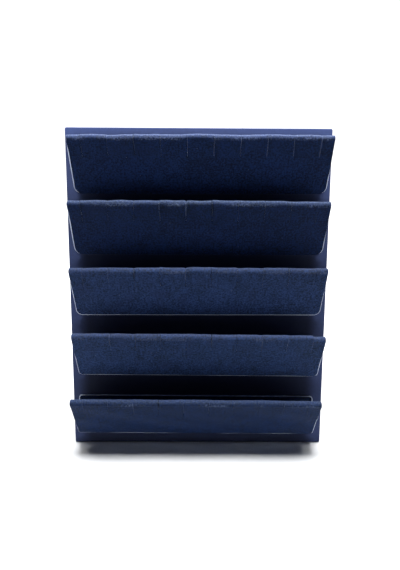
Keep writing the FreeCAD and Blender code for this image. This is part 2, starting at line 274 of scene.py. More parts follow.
def velvet(number, base, pale, crest_highlight):
    """Velvet on a ledge. The cloth map's U is across the ledge and its V along the strip from the crease,
    both in tenths of a metre. pale is its worn colour and the colour of the painted highlight on the fold's top;
    crest_highlight is how much of it the fold's top has."""
    n = Nodes(f"velvet_{number}")
    uv = n.add("ShaderNodeUVMap", uv_map="cloth").outputs[0]
    v = n.add("ShaderNodeSeparateXYZ", {"Vector": uv}).outputs[1]
    shift = (7.3 * number, 3.1 * number, number)
    seeded = n.add("ShaderNodeVectorMath", {0: uv, 1: shift}, operation="ADD").outputs[0]
    cloud = n.noise(seeded, 3.2, 4, 0.6, 0.6)
    blotch = n.noise(seeded, 14, 4, 0.62)
    grain = n.noise(seeded, 56, 3, 0.75)
    pile = n.noise(seeded, 420, 2, 0.7)
    streak = n.noise(n.stretch(seeded, (60.0, 7.0, 1.0)), 1.0, 3, 0.55)
    tone = n.plus(n.times(cloud, 0.14), n.times(blotch, 0.2))
    tone = n.plus(tone, n.times(grain, 0.66))
    tone = n.ramp(n.plus(tone, n.times(n.math("SUBTRACT", streak, 0.5), 0.12)), 0.38, 0.62)
    colour = n.mix(tone, scaled(base, 0.3), scaled(base, 1.7))
    # painted light: the front is painted up to a third paler towards its lower end, against the shade that falls
    # there
    painted_light_low = n.ramp(v, (FRONT_FROM + 4) / 100, (FRONT_FROM + APRON) / 100)
    colour = n.mix(n.times(painted_light_low, 0.35), colour, n.doubled(colour))
    # a reddish cast in patches
    cast = n.ramp(n.noise(seeded, 5.5, 3, 0.5, 0.4), 0.52, 0.7)
    colour = n.mix(n.times(cast, 0.35), colour, (base[0] * 1.3, base[1] * 0.97, base[2] * 1.02))
    # a worn line where the fold meets the front, and a painted highlight along the fold's top
    ripple = n.times(n.math("SUBTRACT", n.noise(seeded, 16, 3, 0.6), 0.5), 0.014)
    front = n.math("SUBTRACT", n.plus(v, ripple), (ROLL_UP + ARC * 0.93) / 100)
    front = n.ramp(n.math("ABSOLUTE", front), 0.002, 0.019, 1.0, 0.0)
    broken = n.ramp(n.noise(seeded, 70, 3, 0.7, 0.5), 0.4, 0.68)
    patches = n.ramp(n.noise(seeded, 4.5, 2, 0.5), 0.42, 0.6, 0.1, 1.0)
    crest = n.math("SUBTRACT", v, (ROLL_UP + ARC * 0.42) / 100)
    crest = n.ramp(n.math("ABSOLUTE", crest), 0.006, 0.044, 1.0, 0.0)
    crest = n.times(crest, n.ramp(n.noise(seeded, 75, 4, 0.7), 0.34, 0.66, 0.2, 1.0))
    front = n.times(n.times(front, broken), n.times(patches, 0.5))
    wear_and_highlight = n.math("ADD", front, n.times(crest, crest_highlight), clamp=True)
    # slit edges, whose cut pile is paler here and there, with painted shade beside a lifted edge and in a parted
    # slit
    slit = n.add("ShaderNodeAttribute", attribute_name="slit_wear_and_shade").outputs["Fac"]
    slit = n.times(slit, n.ramp(n.noise(seeded, 60, 2, 0.6), 0.3, 0.6, 0.35, 1.0))
    colour = n.mix(n.math("MULTIPLY", slit, -1.0, clamp=True), colour, scaled(base, 0.3))
    wear_and_highlight = n.math("MAXIMUM", wear_and_highlight, slit)
    colour = n.mix(wear_and_highlight, colour, pale)
    colour = n.mix(n.times(n.specks(seeded, 17.0, 0.028, 0.045, 0.82), 0.55), colour, rgb(150, 150, 160))
    height = n.plus(n.times(pile, 0.5), n.plus(n.times(grain, 0.9), blotch))
    height = n.plus(height, n.times(wear_and_highlight, -0.35))
    return n.shade(colour, n.ramp(wear_and_highlight, 0, 1, 0.92, 0.7), n.bump(height, 0.0006, 0.55),
                   sheen=(0.16, 0.4, (0.5, 0.64, 0.95)), specular=0.25, tint=(0.62, 0.82, 1.0))


def book_cloth(name, base):
    """Smooth covering cloth with a fine, even weave, with painted shade where the ledges shade it and a painted
    highlight on its head strip.
    """
    n = Nodes(name)
    at = n.add("ShaderNodeTexCoord").outputs["Object"]
    turned = n.add("ShaderNodeVectorRotate", {"Vector": at, "Angle": LEAN}, rotation_type="X_AXIS").outputs[0]
    xyz = n.add("ShaderNodeSeparateXYZ", {"Vector": turned})
    across, deep, along = xyz.outputs
    thread = 3900.0
    warp = n.math("SINE", n.times(n.plus(across, deep), thread))
    weft = n.math("SINE", n.times(n.math("SUBTRACT", along, deep), thread))
    weave = n.math("MULTIPLY_ADD", n.times(warp, weft), 0.5, 0.5)
    cloud = n.noise(turned, 9, 4, 0.6)
    slub = n.noise(n.stretch(turned, (40.0, 40.0, 700.0)), 1.0, 3, 0.6)
    fine = n.noise(turned, 380, 3, 0.65)
    tone = n.ramp(n.plus(n.times(cloud, 0.5), n.times(fine, 0.5)), 0.32, 0.68)
    colour = n.mix(tone, scaled(base, 0.88), scaled(base, 1.12))
    colour = n.mix(n.times(n.ramp(slub, 0.6, 0.78), 0.25), colour, scaled(base, 1.35))
    colour = n.mix(n.times(weave, 0.12), colour, scaled(base, 0.6))
    # painted light and shade: the middle, under the ledges, is painted darker, and the head strip, which no
    # ledge shades, is painted paler
    head = n.ramp(along, HEAD_Z - 0.016, HEAD_Z - 0.002)
    sides = n.ramp(n.math("ABSOLUTE", across), 0.108, 0.1195)
    painted_ledge_shade = n.mix(1.0, colour, (0.4, 0.42, 0.46), "MULTIPLY")
    colour = n.mix(n.math("MAXIMUM", sides, head), painted_ledge_shade, colour)
    colour = n.mix(n.times(head, 0.75), colour, n.doubled(colour))
    colour = n.mix(n.times(n.specks(turned, 55.0, 0.015, 0.03, 0.93), 0.4), colour, rgb(150, 150, 165))
    height = n.plus(n.times(weave, 0.5), n.plus(n.times(fine, 0.4), slub))
    return n.shade(colour, n.ramp(cloud, 0.3, 0.7, 0.72, 0.85), n.bump(height, 0.0002, 0.5),
                   sheen=(0.15, 0.5, (0.6, 0.65, 0.9)), specular=0.3)


def paper(name, base, fibre=1.0, rough=0.85, speck=None):
    """Card, greyboard or lining paper, with fibres and a slight mottle."""
    n = Nodes(name)
    at = n.add("ShaderNodeTexCoord").outputs["Object"]
    cloud = n.noise(at, 22, 4, 0.6)
    fine = n.noise(at, 900, 3, 0.7)
    hairs = n.noise(n.stretch(at, (900.0, 260.0, 260.0)), 1.0, 2, 0.5, 1.5)
    tone = n.ramp(n.plus(n.times(cloud, 0.45), n.times(fine, 0.55)), 0.3, 0.7)
    colour = n.mix(tone, scaled(base, 0.84), scaled(base, 1.1))
    if speck:
        colour = n.mix(n.times(n.ramp(hairs, 0.62, 0.74), 0.55), colour, speck)
    height = n.plus(n.times(fine, 0.6), n.times(hairs, fibre))
    return n.shade(colour, n.ramp(cloud, 0.3, 0.7, rough - 0.06, rough + 0.06), n.bump(height, 0.00025, 0.5),
                   specular=0.3)


def grosgrain(name, base):
    """Ribbon with ribs across it. The cloth map is in tenths of a metre."""
    n = Nodes(name)
    uv = n.add("ShaderNodeUVMap", uv_map="cloth").outputs[0]
    xyz = n.add("ShaderNodeSeparateXYZ", {"Vector": uv})
    ribs = n.math("MULTIPLY_ADD", n.math("SINE", n.times(xyz.outputs[1], 700.0)), 0.5, 0.5)
    fine = n.noise(uv, 260, 3, 0.6)
    edge = n.ramp(n.math("ABSOLUTE", n.math("SUBTRACT", xyz.outputs[0], 0.06)), 0.048, 0.056)
    colour = n.mix(ribs, scaled(base, 0.6), scaled(base, 1.25))
    colour = n.mix(n.times(fine, 0.3), colour, scaled(base, 1.6))
    colour = n.mix(n.times(edge, 0.4), colour, scaled(base, 0.5))
    height = n.plus(ribs, n.times(fine, 0.3))
    return n.shade(colour, n.ramp(fine, 0.3, 0.7, 0.42, 0.6), n.bump(height, 0.0002, 0.7),
                   sheen=(0.3, 0.4, (0.7, 0.75, 1.0)), specular=0.4)


# Five copies of one velvet with painted light and shade: the top two ledges have darker bases as painted shade,
# the fifth a less red base, and the crest highlights fall from the top ledge down
velvets = [
    velvet(1, rgb(9, 23, 55), rgb(110, 122, 160), 0.62),
    velvet(2, rgb(7, 20, 51), rgb(106, 120, 152), 0.48),
    velvet(3, rgb(24, 38, 70), rgb(88, 94, 114), 0.33),
    velvet(4, rgb(22, 37, 69), rgb(92, 98, 122), 0.33),
    velvet(5, rgb(2, 18, 51), rgb(102, 116, 148), 0.29),
]
cloth = book_cloth("navy_book_cloth", rgb(42, 54, 92))
white_card = paper("white_card", rgb(208, 218, 240), speck=rgb(165, 175, 200))
greyboard = paper("greyboard", rgb(140, 137, 130), fibre=1.6, speck=rgb(90, 84, 76))
lining = paper("navy_lining_paper", rgb(42, 47, 72), rough=0.8, speck=rgb(60, 66, 95))
tape = paper("double_sided_tape", rgb(190, 182, 150), rough=0.6)
ribbon_cloth = grosgrain("navy_grosgrain", rgb(34, 42, 80))


# ---------------------------------------------------------------- ledges

def pull_in(x, half):
    """How far each place across a ledge follows its side: 1 at the side, and 0 beyond 22 mm from it."""
    return smooth((np.abs(x) - (half - 22)) / 22)


def soft_rim(distance):
    """0 well inside a facing's edge and 1 at the edge itself, as a quarter round 0.6 mm wide."""
    return 1 - np.sqrt(np.clip(1 - (1 - np.clip(distance / 0.6, 0, 1)) ** 2, 0, 1))


def to_row(origin, across, a, b, c):
    """Points at a along across, b up the board and c out of it, in millimetres, from an origin in metres."""
    upward = np.cross(OUT, across)
    return origin + MM * (a[..., None] * across + b[..., None] * upward + c[..., None] * OUT)


# How far each flap between two slits stands up from the fold, from the left, in millimetres
TAB_LIFTS = (
    (0.0, 0.1, -0.05, 0.1, 0.0, 0.15, -0.1, 0.1, 0.1, -0.1, -0.3),
    (-0.1, 0.1, 0.1, 0.0, 0.2, -0.1, 0.15, 0.1, 0.05, 0.0, -0.1),
    (0.0, -0.1, 0.1, 0.0, 0.1, 0.4, 0.1, 0.0, 0.1, -0.05, 0.0),
    (0.1, 0.3, -0.1, 0.1, 0.0, 0.2, -0.05, 0.1, 0.1, 0.15, -1.4),
    (0.2, 0.0, 0.1, 0.2, -0.05, 0.1, 0.0, -0.1, 0.1, 0.1, -0.35),
)
# How each slit shows, from the left: pale and lifted at its edges with a painted shade beside them (above 0), or
# parted with a painted shade in it (below 0)
SLIT_LOOK = (
    (-0.3, 0.0, -0.4, 0.0, 0.0, 0.6, 0.5, 0.7, 0.6, 1.0),
    (-0.3, 0.0, 0.0, 0.5, 1.0, -0.6, 0.0, 0.0, -0.2, 0.0),
    (0.4, 0.4, -0.5, 0.0, 1.0, 0.0, 0.0, 0.4, -0.5, 0.0),
    (0.0, 0.9, 0.0, 0.0, 0.0, -0.5, 0.0, 0.7, 0.4, 0.5),
    (0.0, 0.0, 0.4, -0.5, 0.0, 0.0, 0.2, 0.0, 0.0, 0.0),
)
# What each ledge's making and wear have done to it, from the top ledge down, in millimetres
GAPES = (19.0, 13.5, 12.5, 12.5, 11.0)       # how far down from the fold its slits gape
BOWS = (0.4, 0.6, 0.2, 0.5, 0.5)             # how much higher the middle of the fold is than its ends
LIFTS = (-0.4, 0.7, 0.0, -0.3, 0.0)          # how far the fold is pulled up
HANGS = (1.0, 0.0, 0.0, 0.0, 0.0)            # how much further the front hangs than in the CAD model
HEMS = (-0.1, 0.0, 0.8, 0.8, 1.05)           # how much card shows below the velvet
FRONT_CORNERS = (7.5, 7.5, 6.0, 4.0, 3.0)
NECK = 5.0                                   # rounding of the strip's sides where it meets the crease

# The card that shows beyond the velvet at the left and right, and how far up from the front's end it shows
CUTS_SHOWN = ((0.85, 0.75), (0.8, 0.65), (0.5, 0.45), (0.45, 0.6), (0.3, 0.5))
CUTS_REACH = ((44, 19), (46, 20), (36, 24), (26, 26), (14, 30))
CUT_LEAST = 0.12


def ledge_bends(number):
    """A function that adds a ledge's irregularities to (x, up, out) in its shut frame, all in millimetres."""
    r = np.random.RandomState(40 + number)
    lifts = np.array(TAB_LIFTS[number])
    pushes = r.uniform(-0.2, 0.2, SLITS + 1)
    leans = r.uniform(-0.2, 0.2, SLITS + 1)
    look = np.array(SLIT_LOOK[number])
    parts = np.where(look < 0, -look * 0.35, 0.02)
    curls = np.clip(look, 0, 1) * 0.5 + r.uniform(0, 0.02, SLITS)
    sways = r.uniform(-0.5, 0.5, SLITS) * (1 + 1.5 * (look == 0.5))
    crest, face, hem = wave(60 + number, 38), wave(70 + number, 70), wave(80 + number, 50)
    pinch, nibble = wave(90 + number, 9), wave(100 + number, 3)
    gape = GAPES[number]

    def bend(x, side_x, up, out):
        """side_x is x before the corners are rounded, which is what the slits follow."""
        # the flaps between the slits stand at odds with each other
        flap = np.clip(np.floor((side_x + HALF) / CELL + 0.5), 0, SLITS).astype(int)
        in_top = smooth((up - (LENGTH - gape)) / (gape * 0.9))
        centre = flap * CELL - HALF
        up = up + in_top * (lifts[flap] + leans[flap] * (side_x - centre) / CELL)
        out = out + in_top * pushes[flap]
        # the slits part, sway and curl at their edges
        nearest = np.clip(np.round((side_x + HALF) / CELL - 0.5), 0, SLITS - 1).astype(int)
        slit_x = (nearest + 0.5) * CELL - HALF
        d = side_x - slit_x
        side = np.where(d >= 0, 1.0, -1.0)
        x = x + in_top * side * parts[nearest] * np.exp(-np.abs(d) / 2.0)
        swing = sways[nearest] * np.sin((up - LENGTH) / SLIT_DEPTH * 3.0 + nearest)
        x = x + in_top * swing * np.exp(-(d / 4.0) ** 2)
        front = smooth((out - ROLL_OUT) / 2.0)
        out = out + in_top * front * curls[nearest] * np.exp(-np.abs(d) / 1.1)
        # the fold is uneven, and nicked where a slit is worn open
        up = up + crest(side_x) * 0.25 * smooth((up - LENGTH + 10) / 10)
        up = up + (pinch(side_x) * 0.2 + nibble(side_x) * 0.1) * smooth((up - 49) / 4)
        open_slit = np.clip(np.where(np.abs(d) < 4, look[nearest], 0.0) - 0.75, 0, 1)
        up = up - open_slit * 3.0 * np.exp(-(d / 0.9) ** 2) * smooth((up - 48) / 5)
        # the whole ledge bows
        share = np.clip(up / LENGTH, 0, 1)
        up = up + (BOWS[number] * (0.45 - (np.abs(side_x) / HALF) ** 2) + LIFTS[number]) * share
        middle = np.sin(np.clip(up / LENGTH, 0, 1) * math.pi)
        out = out + face(side_x + 3 * up) * 0.3 * middle + hem(side_x) * 0.3 * front * smooth((12 - up) / 12)
        return x, up, out

    return bend


def cell_columns():
    """Column places across a ledge, closer together at its sides and at each slit."""
    near = np.array([0.13, 0.6, 1.4, 2.6, 4.4, 6.8, 9.4])
    columns = []
    for k in range(SLITS):
        x = (k + 0.5) * CELL - HALF
        columns += list(x - near) + list(x + near)
    columns = [c for c in columns if abs(c) < HALF - 2.2]
    sides = [HALF - d for d in (0.0, 0.12, 0.3, 0.6, 1.1, 1.8)]
    return np.unique(np.round(np.array(columns + sides + [-s for s in sides]), 4))


def strip_rows(end):
    """Places along the folded strip, closer together in the roll and at the apron's end."""
    slit_start, slit_end = LENGTH - SLIT_DEPTH, FRONT_FROM + (SLIT_DEPTH - ROLL)
    stretches = ((0, slit_start, 14), (slit_start, ROLL_UP, 11), (ROLL_UP, FRONT_FROM, 19),
                 (FRONT_FROM, slit_end, 13), (slit_end, end - 10.0, 18))
    rows = [np.linspace(low, high, n)[:-1] for low, high, n in stretches]
    return np.concatenate(rows + [end - 10.0 * (1 - np.sin(np.linspace(0, math.pi / 2, 16)))])


def strip_at(s, r, bulge):
    """(up, out) at s along a ledge's folded strip, r from the roll's middle, in the shut ledge's frame."""
    turn = np.clip((s - ROLL_UP) / ARC, 0, 1) * (math.pi + TAPER) - math.pi / 2
    swell = r * (1 + bulge * np.exp(-((turn - math.radians(78)) / 0.22) ** 2))
    past = np.clip(s - ROLL_UP - ARC, 0, None)
    up = np.where(s < ROLL_UP, s, ROLL_UP + swell * np.cos(turn) - past * math.cos(TAPER))
    out = np.where(s < ROLL_UP, ROLL_OUT - r, ROLL_OUT + swell * np.sin(turn) - past * math.sin(TAPER))
    return up, out


def corner_inset(to_end, radius):
    """How far a rounded corner draws the side in, at a distance from the strip's end."""
    d = np.clip(radius - to_end, 0, radius)
    return radius - np.sqrt(np.clip(radius ** 2 - d ** 2, 0, None))


def side_cut(number, side, to_end, rows):
    """How much white card shows beyond the velvet at a side (0 left, 1 right), along the strip."""
    shown, start = CUTS_SHOWN[number][side], CUTS_REACH[number][side]
    fray = wave(130 + number * 2 + side, 6)(rows) * 0.07
    fades = smooth((start + 8 - to_end) / 14) * smooth((to_end + 8) / 8)
    return CUT_LEAST + (shown - CUT_LEAST) * fades + fray


def ledge_grid(bend, joint, columns, outer, inner, radius, end, cuts=None, bulge=0.0, round_by=0.0):
    """Front and back grids of a layer of a ledge, in the row frame, with its cloth map and its places."""
    rows = strip_rows(end)
    s = np.repeat(rows[:, None], len(columns), 1)
    x0 = np.repeat(columns[None, :], len(rows), 0)
    to_end = end - s
    width = HALF - np.where(s > FRONT_FROM, corner_inset(to_end, radius), corner_inset(s, NECK))
    left = right = width
    if cuts is not None:
        left, right = width - cuts[0][:, None], width - cuts[1][:, None]
    drawn = np.where(x0 < 0, -left, right)
    x = x0 + (drawn - np.sign(x0) * HALF) * pull_in(x0, HALF)
    x = np.where(np.abs(x0 / HALF) > 0.99999, drawn, x)
    opening = -math.radians(joint["range_deg"][0])
    origin, across = np.array(joint["pos_m"]), np.array(joint["axis"])
    grids = []
    for reach, outside in ((outer, True), (inner, False)):
        r = np.full_like(s, reach)
        if outside and round_by:
            r = r - round_by * soft_rim(np.minimum(HALF - np.abs(x0), np.clip(to_end, 0, None)))
        up, out = strip_at(s, r, bulge)
        x_bent, up, out = bend(x, x0, up, out)
        swung_up = up * math.cos(opening) - out * math.sin(opening)
        swung_out = up * math.sin(opening) + out * math.cos(opening)
        grids.append(to_row(origin, across, x_bent, swung_up, swung_out))
    uv = np.stack([(x0 + HALF) / 100, s / 100], -1)
    return grids[0], grids[1], uv, s, x0


def slit_cells(s, x0):
    """Which cells of a ledge's grid exist: all but those in the slits."""
    s_middle = (s[:-1, :-1] + s[1:, 1:]) / 2
    x_middle = (x0[:-1, :-1] + x0[1:, 1:]) / 2
    off = np.abs((((x_middle + HALF) / CELL) % 1) - 0.5) * CELL
    return ~((off < 0.14) & (s_middle > LENGTH - SLIT_DEPTH) & (s_middle < FRONT_FROM + SLIT_DEPTH - ROLL))


def slit_wear_and_shade(number, uv):
    """How the slit beside each vertex of a velvet facing marks it: paler above 0 where its cut pile is pale, and
    darker below 0 with painted shade beside a lifted edge and in a parted slit.
    """
    look = np.array(SLIT_LOOK[number])
    x, s = uv[:, 0] * 100, uv[:, 1] * 100
    nearest = np.clip(np.floor(x / CELL), 0, SLITS - 1).astype(int)
    d = x - (nearest + 0.5) * CELL
    gape = GAPES[number]
    deep = smooth((s - (LENGTH - gape)) / 3) * smooth((FRONT_FROM + gape - 2 - s) / 5)
    line, beside = np.exp(-(d / 0.42) ** 2), np.exp(-((d - 2.2) / 1.3) ** 2)
    # painted shade: beside darkens the velvet along a lifted slit edge, and dark darkens a parted slit
    pale = np.clip(look, 0, 1)[nearest] * (0.42 * line - 0.7 * beside)
    dark = np.clip(look, -1, 0)[nearest] * 1.4 * np.exp(-(d / 0.9) ** 2)
    return (pale + dark) * deep


def build_ledge(number):
    """The folded card strip of a ledge and the velvet on it."""
    joint = ledge_joints[number]
    bend = ledge_bends(number)
    body = f"ledge_{number + 1}"
    radius = FRONT_CORNERS[number]
    columns = cell_columns()

    card_end = FRONT_FROM + APRON + HANGS[number]
    front, back, uv, s, x0 = ledge_grid(bend, joint, columns, ROLL - VELVET + 0.004, ROLL - LAYERS,
                                        radius, card_end)
    v, f, t, m = slab(front, back, uv, slit_cells(s, x0), wall_index=1)
    # the slits' cut faces take the velvet as a painted shade over the white card there, and the strip's own
    # edges are white
    places = t[f].mean(axis=1)
    across = np.abs(places[:, 0] - HALF / 100) < HALF / 100 - 0.05
    along = (places[:, 1] > 0.1) & (places[:, 1] < (card_end - 5) / 100)
    m = (m * (across & along)).astype(int)
    card = make(f"{body}_card_strip", v, f, t, m, [white_card, velvets[number]])
    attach(card, body)
    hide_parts(f"{body}_card")

    velvet_end = card_end - HEMS[number]
    rows = strip_rows(velvet_end)
    cuts = [side_cut(number, side, velvet_end - rows, rows) for side in (0, 1)]
    front, back, uv, s, x0 = ledge_grid(bend, joint, columns, ROLL, ROLL - VELVET, radius, velvet_end,
                                        cuts, bulge=0.05, round_by=0.45)
    v, f, t, m = slab(front, back, uv, slit_cells(s, x0))
    skin = make(f"{body}_velvet_facing", v, f, t, m, [velvets[number]], sharp=60)
    skin.data.attributes.new("slit_wear_and_shade", "FLOAT", "POINT").data.foreach_set("value", slit_wear_and_shade(number, t))
    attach(skin, body)
    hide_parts(f"{body}_velvet")


def tab_layer(number, half, height, corner, low, high, rim_soft=0.0, wavy=0.0):
    """A layer of a glued tab, from low to high out of the crease's plane, with rounded top corners."""
    joint = ledge_joints[number]
    origin, across = np.array(joint["pos_m"]), np.array(joint["axis"])
    sag = wave(160 + number, 60)
    rows = np.concatenate([np.linspace(0, height - 12.0, 10)[:-1],
                           height - 12.0 * (1 - np.sin(np.linspace(0, math.pi / 2, 14)))])
    columns = np.concatenate([np.linspace(-half, -half + 2, 6), np.linspace(-half + 5, half - 5, 70),
                              np.linspace(half - 2, half, 6)])
    s = np.repeat(rows[:, None], len(columns), 1)
    x0 = np.repeat(columns[None, :], len(rows), 0)
    inset = corner_inset(height - s, corner) + corner_inset(s, NECK)
    x = x0 - np.sign(x0) * inset * pull_in(x0, half)
    top = s + sag(x0 * 2.3 + 9) * 0.12 * smooth((s - height + 6) / 6)
    lifted = np.clip(sag(x0) * 0.12 * smooth(s / height), 0, None) * wavy
    soft = rim_soft * soft_rim(np.minimum(half - np.abs(x0), height - s))
    front = to_row(origin, across, x, top, high + lifted - soft)
    back = to_row(origin, across, x, top, np.full_like(s, low))
    return slab(front, back, np.stack([(x0 + HALF) / 100, -s / 100], -1))


def build_tab(number):
    """The glued tab: white card, and the velvet on it, which stops short of the card's cut edges."""
    body = f"ledge_{number + 1}"
    corner = CORNERS[number]
    low = -(LAYERS + GAP)
    side_edge, top_edge, corner_edge = 0.8, 0.7, 0.6
    card = tab_layer(number, HALF, TAB_HEIGHT, corner, low, low + CARD)
    facing = tab_layer(number, HALF - side_edge, TAB_HEIGHT - top_edge, corner - corner_edge,
                       low + CARD, -GAP, rim_soft=0.35, wavy=1.0)
    layers = ((card, "tab_board", "tab_card", white_card, "card"),
              (facing, "tab_velvet_facing", "tab_velvet", velvets[number], "velvet"))
    for layer, piece, node, mat, slot in layers:
        v, f, t, m = layer
        ob = make(f"{body}_{piece}", v, f, t, m, [mat], sharp=50)
        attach(ob, "board")
        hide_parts(f"{body}_{node}")


def build_crease(number):
    """The bent card and velvet between tab and ledge, fixed in place."""
    joint = ledge_joints[number]
    origin, across = np.array(joint["pos_m"]), np.array(joint["axis"])
    opening = -math.radians(joint["range_deg"][0])
    turns = np.linspace(-math.pi / 2, -math.pi * 1.5 + opening, 15)
    columns = np.linspace(-HALF, HALF, 90)
    a = np.repeat(turns[:, None], len(columns), 1)
    x = np.repeat(columns[None, :], len(turns), 0)
    body = f"ledge_{number + 1}"
    layers = (("crease_card", GAP + VELVET, GAP + LAYERS, white_card, "card", 0.0),
              ("crease_velvet", GAP, GAP + VELVET, velvets[number], "velvet", 0.4))
    for piece, inner, outer, mat, slot, inset in layers:
        drawn = x * (HALF - NECK - inset) / HALF
        grids = [to_row(origin, across, drawn, r * np.cos(a), r * np.sin(a)) for r in (inner, outer)]
        uv = np.stack([(x + HALF) / 100, a * 0.01], -1)
        v, f, t, m = slab(grids[0], grids[1], uv)
        ob = make(f"{body}_{piece}", v, f, t, m, [mat])
        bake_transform(ob)


for n in range(5):
    build_ledge(n)
    build_tab(n)
    build_crease(n)


# ---------------------------------------------------------------- board

BOARD_H = 315.0
WRAP_THICK = 4.0                             # greyboard and the cloth on both sides
WRAP_CORNER = 2.2
BOARD_TOP_UP = ((BOARD_HIGH[2] - first[2]) / MM - FRONT * OUT[2]) / UP[2]


def rounded_slab(lx, ly, lz, r, nx, ny, soft=4):
    """Points of a slab centred on the origin, with edges rounded by r, as (verts, faces)."""
    def places(length, n):
        h = length / 2
        turn = r * (1 - np.cos(np.linspace(0, math.pi / 2, soft + 1)))
        near = np.array([1.2, 1.7, 2.2]) if n > 2 else np.array([])
        inner = np.linspace(-h + r, h - r, n) if n <= 2 else np.linspace(-h + 3.2, h - 3.2, n)
        return np.unique(np.round(np.concatenate([-h + turn, -h + near, inner, h - near, h - turn]), 5))

    xs, ys, zs = places(lx, nx), places(ly, ny), places(lz, 2)
    verts, faces, seen = [], [], {}

    def vert(p):
        key = tuple(np.round(p, 4))
        if key not in seen:
            seen[key] = len(verts)
            verts.append(p)
        return seen[key]

    for axis, (us, vs, h) in enumerate(((ys, zs, lx / 2), (zs, xs, ly / 2), (xs, ys, lz / 2))):
        for side in (-1, 1):
            for a0, a1 in zip(us, us[1:]):
                for b0, b1 in zip(vs, vs[1:]):
                    quad = []
                    for a, b in ((a0, b0), (a1, b0), (a1, b1), (a0, b1)):
                        p = np.zeros(3)
                        p[axis], p[(axis + 1) % 3], p[(axis + 2) % 3] = side * h, a, b
                        quad.append(vert(p))
                    faces.append(quad if side > 0 else quad[::-1])
    verts = np.array(verts)
    inner = np.clip(verts, -np.array([lx, ly, lz]) / 2 + r, np.array([lx, ly, lz]) / 2 - r)
    d = verts - inner
    length = np.linalg.norm(d, axis=1, keepdims=True)
    return inner + d / np.maximum(length, 1e-9) * np.where(length > 0, r, 0), faces


def board_point(x, up, out):
    """Row-frame points from x, height over the board's top edge, negative below it, and distance in front."""
    top_point = first * np.array([0, 1, 1]) + MM * (BOARD_TOP_UP * UP + FRONT * OUT)
    return top_point + MM * (x[..., None] * X + up[..., None] * UP + out[..., None] * OUT)


def wrapped(name, points, faces, body, node):
    """A piece of cloth-covered board that stands in for a CAD node."""
    ob = make(name, points, faces, materials=[cloth], sharp=50)
    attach(ob, body)
    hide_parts(node)


def build_board():
    """The main panel's cloth wrap, with a slightly uneven front and soft corners."""
    v, f = rounded_slab(BOARD_W, BOARD_H, WRAP_THICK, 0.8, 90, 110)
    half = np.array([BOARD_W, BOARD_H]) / 2
    swell = np.abs(wave(11, 120)(v[:, 0]) * 0.1 + wave(12, 140)(v[:, 1]) * 0.1)
    inside = smooth((half[0] - np.abs(v[:, 0])) / 12) * smooth((half[1] - np.abs(v[:, 1])) / 12)
    v[:, 2] -= np.where(v[:, 2] > 0, swell * inside, 0)
    past = np.clip(np.abs(v[:, :2]) - (half - WRAP_CORNER), 0, None)
    reach = np.linalg.norm(past, axis=1, keepdims=True)
    in_corner = (past > 0).all(axis=1)
    turned_in = past * np.minimum(1, WRAP_CORNER / np.maximum(reach, 1e-9))
    v[in_corner, :2] = (np.sign(v[:, :2]) * (half - WRAP_CORNER + turned_in))[in_corner]
    points = board_point(v[:, 0], v[:, 1] - BOARD_H / 2, v[:, 2] - WRAP_THICK / 2)
    points += (BOARD_HIGH[2] - points[:, 2].max()) / UP[2] * UP
    wrapped("board_cloth_wrap", points, f, "board", "board_cloth")


build_board()

# ---------------------------------------------------------------- easel strut

strut = joints["strut_leg"]
strut_axis = np.array(strut["pos_m"])
STRUT_OPEN = -math.radians(strut["range_deg"][0])
SPLAY = STRUT_OPEN - LEAN                    # of the leg, forward from the vertical at its top
DOWN = np.array([0, math.sin(SPLAY), -math.cos(SPLAY)])
BACK = np.array([0, math.cos(SPLAY), math.sin(SPLAY)])
COVER = 0.25                                 # from the strut's axis to the outer face of its cloth
LEG = (strut_axis[2] / MM + COVER * math.sin(SPLAY)) / math.cos(SPLAY)
TOP_W, FOOT_W = 58.0, 96.0
LEG_THICK = 2.7
HEAD_H, HEAD_THICK = 34.0, 4.1
STRUT_GAP = 1.0                              # from the strut's axis to the leg and to the head


def leg_points(x, along, out):
    """Row-frame points of the leg: x at its top's width, distance down it and distance behind its axis."""
    share = along / LEG
    wide = x * (TOP_W + share * (FOOT_W - TOP_W)) / TOP_W
    reach = along + (out - COVER) * math.tan(SPLAY) * share
    return strut_axis + MM * (wide[..., None] * X + reach[..., None] * DOWN + out[..., None] * BACK)


def build_leg():
    v, f = rounded_slab(TOP_W, LEG - STRUT_GAP, LEG_THICK, 0.6, 14, 50)
    points = leg_points(v[:, 0], v[:, 1] + (LEG + STRUT_GAP) / 2, v[:, 2] + COVER - LEG_THICK / 2)
    wrapped("strut_leg_wrap", points, f, "strut_leg", "strut_leg_cloth")


def build_head():
    v, f = rounded_slab(TOP_W, HEAD_H, HEAD_THICK, 0.6, 14, 12)
    x, up, out = v[:, :1], v[:, 1:2] + HEAD_H / 2 + STRUT_GAP, v[:, 2:3] + COVER - HEAD_THICK / 2
    points = strut_axis + MM * (x * X + up * UP - out * OUT)
    wrapped("strut_head_wrap", points, [q[::-1] for q in f], "board", "strut_head_cloth")


def strut_hinge():
    """The covering cloth that runs from the head over the crease onto the leg."""
    reach, thick, dipped = 6.0, 0.35, 0.45
    t = np.linspace(-reach, reach, 25)
    low = COVER - dipped * np.exp(-(t / 1.1) ** 2)
    on_head = t < 0
    up_head = -t[:, None] * UP - low[:, None] * OUT
    down_leg = t[:, None] * DOWN + low[:, None] * BACK
    path = strut_axis + MM * np.where(on_head[:, None], up_head, down_leg)
    normals = np.where(on_head[:, None], -OUT, BACK)
    xs = np.linspace(-TOP_W / 2 + 0.3, TOP_W / 2 - 0.3, 30)
    across = MM * xs[None, :, None] * X
    inner = path[:, None] + across
    outer = inner + normals[:, None] * MM * thick
    uv = np.stack(np.meshgrid(xs / 100, t / 100), -1)
    v, f, uvs, m = slab(outer, inner, uv)
    ob = make("strut_hinge_cloth", v, f, uvs, m, [cloth])
    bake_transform(ob)


build_leg()
build_head()
strut_hinge()

